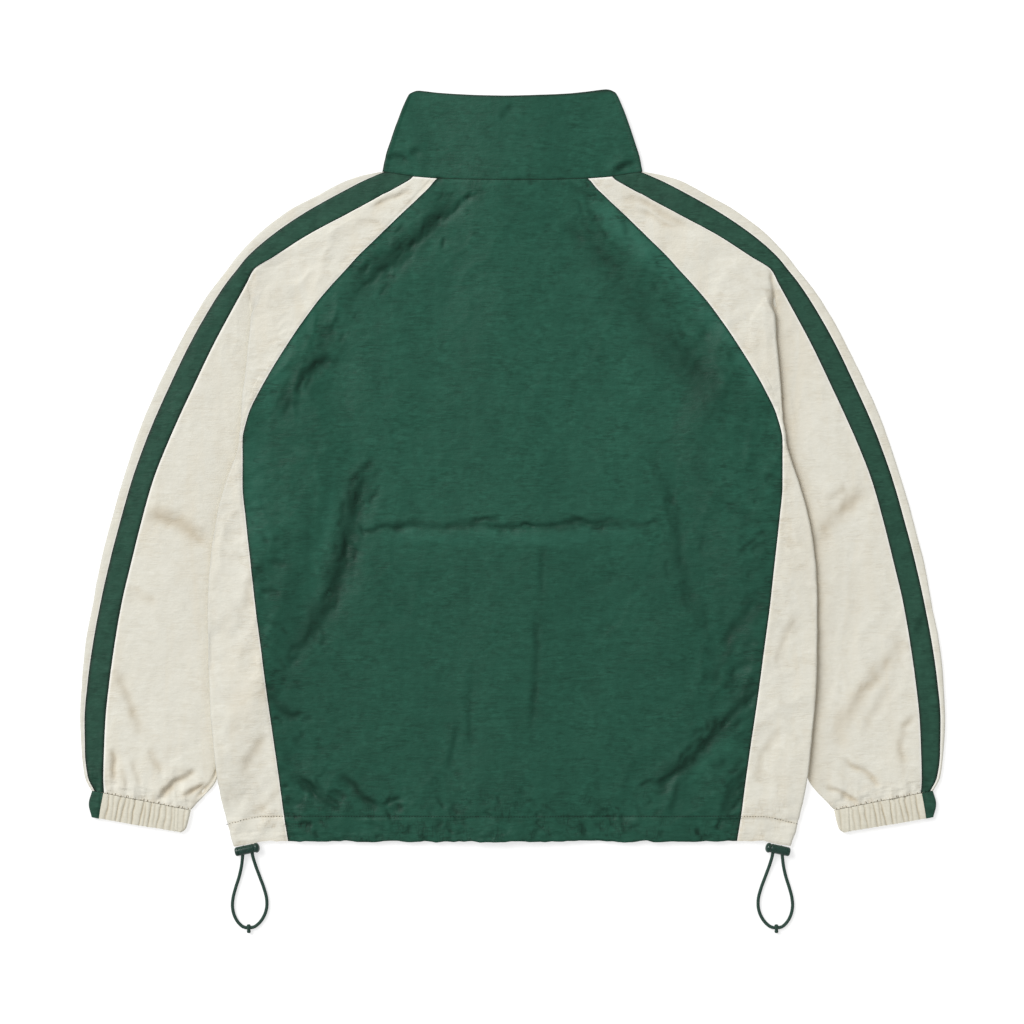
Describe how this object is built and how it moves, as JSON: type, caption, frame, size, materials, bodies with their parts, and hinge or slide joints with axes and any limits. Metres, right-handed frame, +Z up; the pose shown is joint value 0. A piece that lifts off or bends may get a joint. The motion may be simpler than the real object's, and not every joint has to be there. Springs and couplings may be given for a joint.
{
  "type": "track jacket",
  "caption": "Track jacket laid flat, back up: raglan sleeves with a stripe along each, side panels, stand collar, gathered cuffs, front zip and a drawcord hem with a cord lock at each side.",
  "frame": {"origin": "on the surface that the jacket lies on, under the middle of the garment without its free cords", "axes": "+X to the wearer's right, which is the right as seen from above; +Y from the hem towards the collar; +Z up, out of the back"},
  "size_m": [0.9104, 0.8838, 0.0106],
  "materials": {
    "green_nylon": "satin",
    "cream_nylon": "satin",
    "cream_elastic": "matte",
    "green_plastic": "satin",
    "green_cord": "matte",
    "zip_tape": "matte",
    "zip_chain": "satin",
    "zip_metal": "satin"
  },
  "bodies": {
    "garment": {"back_panel": "green_nylon", "collar": "green_nylon", "front_left": "green_nylon", "side_panel_left": "cream_nylon", "sleeve_back_left": "cream_nylon", "sleeve_stripe_left": "green_nylon", "sleeve_front_left": "cream_nylon", "cuff_left": "cream_elastic", "cuff_stripe_left": "green_nylon", "zip_tape_left": "zip_tape", "cord_lock_left": "green_plastic", "cord_button_left": "green_plastic", "cord_outer_left": "green_cord", "cord_inner_left": "green_cord", "cord_knot_left": "green_cord", "front_right": "green_nylon", "side_panel_right": "cream_nylon", "sleeve_back_right": "cream_nylon", "sleeve_stripe_right": "green_nylon", "sleeve_front_right": "cream_nylon", "cuff_right": "cream_elastic", "cuff_stripe_right": "green_nylon", "zip_tape_right": "zip_tape", "cord_lock_right": "green_plastic", "cord_button_right": "green_plastic", "cord_outer_right": "green_cord", "cord_inner_right": "green_cord", "cord_knot_right": "green_cord", "zip_chain": "zip_chain", "zip_box": "zip_metal", "zip_slider": "zip_metal"},
    "pull_tab": {"zip_pull_tab": "zip_metal"}
  },
  "joints": [
    {"name": "pull_tab_hinge", "type": "hinge", "parent": "garment", "child": "pull_tab", "pos_m": [0, 0.33255, 0.00145], "axis": [1, 0, 0], "range_deg": [0, 160]}
  ]
}
